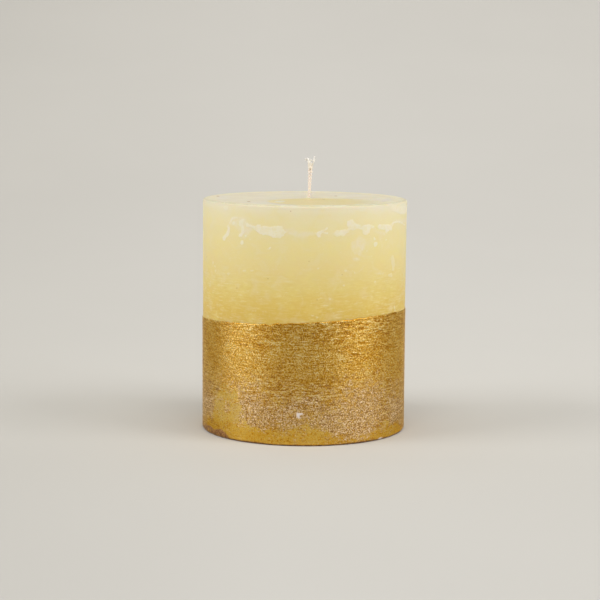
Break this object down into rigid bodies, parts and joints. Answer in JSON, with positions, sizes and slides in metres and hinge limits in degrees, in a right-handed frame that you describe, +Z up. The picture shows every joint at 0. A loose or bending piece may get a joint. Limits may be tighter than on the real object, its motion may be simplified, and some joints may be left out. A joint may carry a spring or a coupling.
{
  "type": "pillar candle",
  "caption": "Short poured pillar candle with a gold dipped foot, a rimmed top with a shallow pool, and a braided wick that bends.",
  "frame": {"origin": "centre of the round base, on the surface that the candle stands on", "axes": "+Z up along the pillar; the wick leans towards +X; -Y is the side with the pool"},
  "size_m": [0.0702, 0.0702, 0.0941],
  "materials": {
    "body_wax": "satin",
    "top_wax": "satin",
    "pool_wax": "satin",
    "gold": "satin",
    "wick_cotton": "matte",
    "tinplate": "satin",
    "wick_end_cotton": "matte",
    "fray_cotton": "matte"
  },
  "bodies": {
    "candle": {"wax_body": "body_wax", "wax_top_pour": "top_wax", "wick_well_fill": "pool_wax", "gold_dip_coat": "gold", "wick_stem": "wick_cotton", "wick_tab": "tinplate"},
    "wick_tip": {"wick_free_end": "wick_end_cotton", "wick_frayed_ends": "fray_cotton"}
  },
  "joints": [
    {"name": "wick_bend", "type": "hinge", "parent": "candle", "child": "wick_tip", "pos_m": [0.00146, 0, 0.0816], "axis": [0, 1, 0], "range_deg": [-60, 60]}
  ]
}
